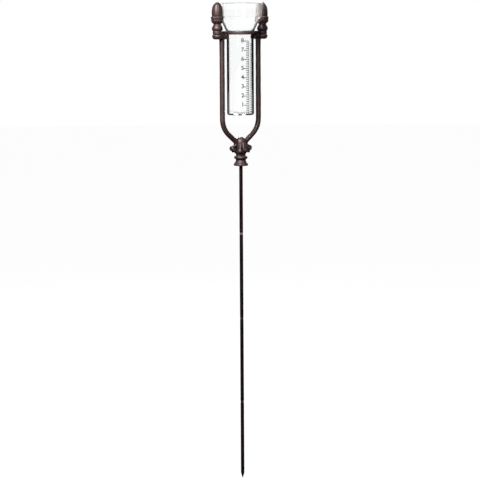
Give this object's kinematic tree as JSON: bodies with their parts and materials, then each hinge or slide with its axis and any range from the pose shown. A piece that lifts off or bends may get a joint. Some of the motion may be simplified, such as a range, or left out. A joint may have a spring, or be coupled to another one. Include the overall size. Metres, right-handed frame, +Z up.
{
  "type": "manual rain gauge",
  "caption": "Stake-mounted rain gauge: glass vessel with a wide collector and a scaled tube, hung in a cast fork with acorn finials on a screw-together ground stake.",
  "frame": {"origin": "the stake's tip, on the upright axis of the stake, hub, ring and glass", "axes": "+Z up along the stake; the fork's arms and finials stand along X; the tube's scales face -Y"},
  "size_m": [0.1596, 0.098, 1.08],
  "materials": {
    "cast_brown": "dark brown painted cast iron, satin, lighter on raised edges",
    "stake_black": "near-black satin paint on steel rod",
    "bare_steel": "dull unpainted steel",
    "clear_glass": "clear smooth glass",
    "print_grey": "fired dark grey print"
  },
  "bodies": {
    "stake_tip": {"stake_point": "stake_black", "coupler_lower": "bare_steel"},
    "stake_low": {"stake_lower": "stake_black", "coupler_middle": "bare_steel"},
    "stake_mid": {"stake_middle": "stake_black", "coupler_upper": "bare_steel"},
    "stake_top": {"stake_upper": "stake_black", "head_stud": "bare_steel"},
    "head": {"fork_casting": "cast_brown", "holder_ring": "cast_brown", "finial_stud_left": "bare_steel", "finial_stud_right": "bare_steel"},
    "finial_l": {"finial_left": "cast_brown"},
    "finial_r": {"finial_right": "cast_brown"},
    "glass": {"glass_vessel": "clear_glass", "inch_scale": "print_grey", "metric_scale": "print_grey"}
  },
  "joints": [
    {"name": "lower_joint_turn", "type": "hinge", "parent": "stake_tip", "child": "stake_low", "pos_m": [0, 0, 0.179], "axis": [0, 0, 1], "continuous": true},
    {"name": "middle_joint_turn", "type": "hinge", "parent": "stake_low", "child": "stake_mid", "pos_m": [0, 0, 0.372], "axis": [0, 0, 1], "continuous": true},
    {"name": "upper_joint_turn", "type": "hinge", "parent": "stake_mid", "child": "stake_top", "pos_m": [0, 0, 0.565], "axis": [0, 0, 1], "continuous": true},
    {"name": "head_turn", "type": "hinge", "parent": "stake_top", "child": "head", "pos_m": [0, 0, 0.753], "axis": [0, 0, 1], "continuous": true},
    {"name": "finial_left_turn", "type": "hinge", "parent": "head", "child": "finial_l", "pos_m": [-0.0654, 0, 1.0165], "axis": [0, 0, 1], "continuous": true},
    {"name": "finial_right_turn", "type": "hinge", "parent": "head", "child": "finial_r", "pos_m": [0.0654, 0, 1.0165], "axis": [0, 0, 1], "continuous": true},
    {"name": "glass_lift", "type": "slide", "parent": "head", "child": "glass", "axis": [0, 0, 1], "range_m": [0, 0.27]}
  ]
}
